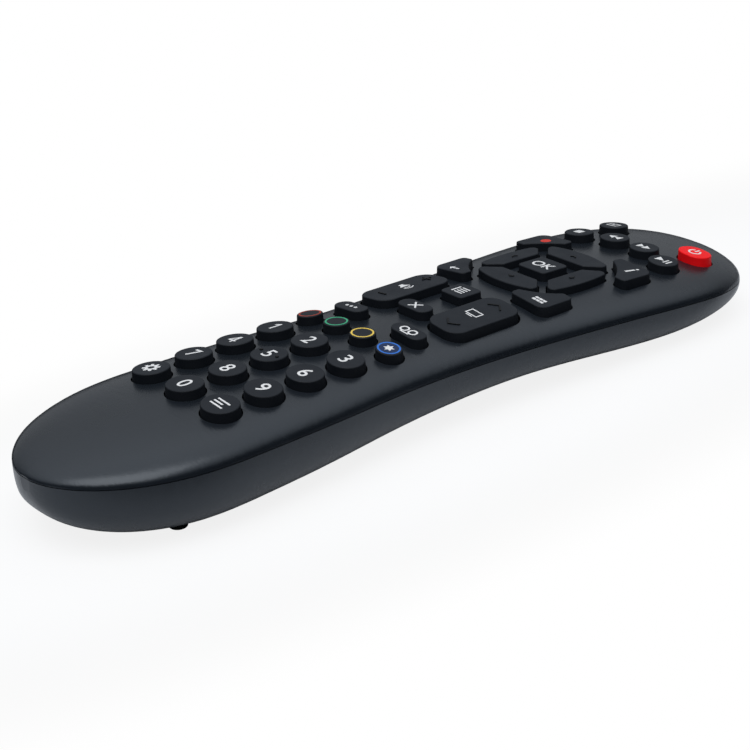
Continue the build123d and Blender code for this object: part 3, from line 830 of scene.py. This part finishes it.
def soft_lamp(name, place, size, watts):
    """A square soft lamp aimed at the middle of the remote."""
    bpy.ops.object.light_add(type="AREA", location=place)
    lamp = bpy.context.object
    lamp.name = name
    lamp.data.size = size
    lamp.data.energy = watts
    lamp.rotation_euler = (-Vector(place)).to_track_quat("-Z", "Y").to_euler()


# Overhead softbox, a little towards the camera, its place and size in metres
softbox_place = (0.5, -0.6, 1.9)
softbox_size = 2.0
softbox_watts = 32
soft_lamp("overhead_softbox", softbox_place, softbox_size, softbox_watts)

# A white card overhead and a dimmer one beyond the remote, which the glossy shells reflect.
# The light they throw on dull surfaces is dimmed, and the camera sees plain white.
overhead_strength = 1.2
beyond_strength = 0.42
beyond_least = 0.02
beyond_heading = (-0.77, 0.63, 0)
dull_light_share = 0.4
world = bpy.data.worlds.new("studio")
bpy.context.scene.world = world
world.use_nodes = True
surroundings = world.node_tree
surroundings.nodes.clear()
ray = add_node(surroundings, "ShaderNodeLightPath", {}, {})
towards = add_node(surroundings, "ShaderNodeTexCoord", {}, {}).outputs["Generated"]
steepness = add_node(surroundings, "ShaderNodeSeparateXYZ", {}, {"Vector": towards}).outputs["Z"]
overhead_card = add_node(
    surroundings,
    "ShaderNodeMapRange",
    {"From Min": 0.35, "From Max": 0.8, "To Max": overhead_strength},
    {"Value": steepness},
)
beyond = add_node(
    surroundings,
    "ShaderNodeVectorMath",
    {"operation": "DOT_PRODUCT", 1: beyond_heading},
    {0: towards},
)
beyond_card = add_node(
    surroundings,
    "ShaderNodeMapRange",
    {"From Min": 0.1, "From Max": 0.8, "To Min": beyond_least, "To Max": beyond_strength},
    {"Value": beyond.outputs["Value"]},
)
both_cards = add_node(
    surroundings,
    "ShaderNodeMath",
    {"operation": "MAXIMUM"},
    {0: overhead_card.outputs["Result"], 1: beyond_card.outputs["Result"]},
)
dimmed = add_node(
    surroundings,
    "ShaderNodeMapRange",
    {"To Min": 1.0, "To Max": dull_light_share},
    {"Value": ray.outputs["Is Diffuse Ray"]},
)
card_light = add_node(
    surroundings,
    "ShaderNodeMath",
    {"operation": "MULTIPLY"},
    {0: both_cards.outputs["Value"], 1: dimmed.outputs["Result"]},
)
brightness = add_node(
    surroundings,
    "ShaderNodeMapRange",
    {"To Max": 1.0},
    {"Value": ray.outputs["Is Camera Ray"], "To Min": card_light.outputs["Value"]},
)
sky_tint = add_node(
    surroundings,
    "ShaderNodeMix",
    {"data_type": "RGBA", mix_first: linear("#f4f9ff"), mix_second: linear("#ffffff")},
    {mix_factor: ray.outputs["Is Camera Ray"]},
)
sky = add_node(
    surroundings,
    "ShaderNodeBackground",
    {},
    {"Color": sky_tint.outputs[mix_result], "Strength": brightness.outputs["Result"]},
)
add_node(surroundings, "ShaderNodeOutputWorld", {}, {"Surface": sky.outputs["Background"]})

# Pale floor that keeps the shadow and otherwise shows white. Its paper is pale in an oval pool
# round the remote and dark further out, so that only the pool is reflected in the shells.
floor_size = 8
pool_stretch = (3.3, 1.0, 0)
pool_inside = 0.13
pool_outside = 0.3
white_near = 0.85
bpy.ops.object.select_all(action="DESELECT")
bpy.ops.mesh.primitive_plane_add(size=floor_size, location=(0, 0, 0))
floor = bpy.context.object
floor.name = "floor"
floor_finish = bpy.data.materials.new("white_paper_floor")
floor_finish.use_nodes = True
floor_tree = floor_finish.node_tree
floor_tree.nodes.clear()
floor_ray = add_node(floor_tree, "ShaderNodeLightPath", {}, {})
floor_place = add_node(floor_tree, "ShaderNodeTexCoord", {}, {}).outputs["Object"]
floor_oval = add_node(
    floor_tree,
    "ShaderNodeVectorMath",
    {"operation": "MULTIPLY", 1: pool_stretch},
    {0: floor_place},
)
floor_reach = add_node(
    floor_tree, "ShaderNodeVectorMath", {"operation": "LENGTH"}, {0: floor_oval.outputs["Vector"]}
)
far_share = add_node(
    floor_tree,
    "ShaderNodeMapRange",
    {
        "From Min": pool_inside,
        "From Max": pool_outside,
        "interpolation_type": "SMOOTHSTEP",
    },
    {"Value": floor_reach.outputs["Value"]},
)
unlit_share = add_node(
    floor_tree,
    "ShaderNodeMapRange",
    {"To Min": white_near, "To Max": 1.0},
    {"Value": far_share.outputs["Result"]},
)
floor_white_share = add_node(
    floor_tree,
    "ShaderNodeMath",
    {"operation": "MULTIPLY"},
    {0: floor_ray.outputs["Is Camera Ray"], 1: unlit_share.outputs["Result"]},
)
paper_shade = add_node(
    floor_tree,
    "ShaderNodeMix",
    {"data_type": "RGBA", mix_first: linear("#f5f9ff"), mix_second: linear("#1b1b1b")},
    {mix_factor: far_share.outputs["Result"]},
)
floor_paper = add_node(
    floor_tree, "ShaderNodeBsdfDiffuse", {}, {"Color": paper_shade.outputs[mix_result]}
)
floor_white = add_node(floor_tree, "ShaderNodeEmission", {"Color": linear("#ffffff")}, {})
floor_mix = add_node(
    floor_tree,
    "ShaderNodeMixShader",
    {},
    {
        0: floor_white_share.outputs["Value"],
        1: floor_paper.outputs["BSDF"],
        2: floor_white.outputs["Emission"],
    },
)
add_node(floor_tree, "ShaderNodeOutputMaterial", {}, {"Surface": floor_mix.outputs["Shader"]})
floor.data.materials.append(floor_finish)

bpy.context.scene.view_settings.view_transform = "Standard"
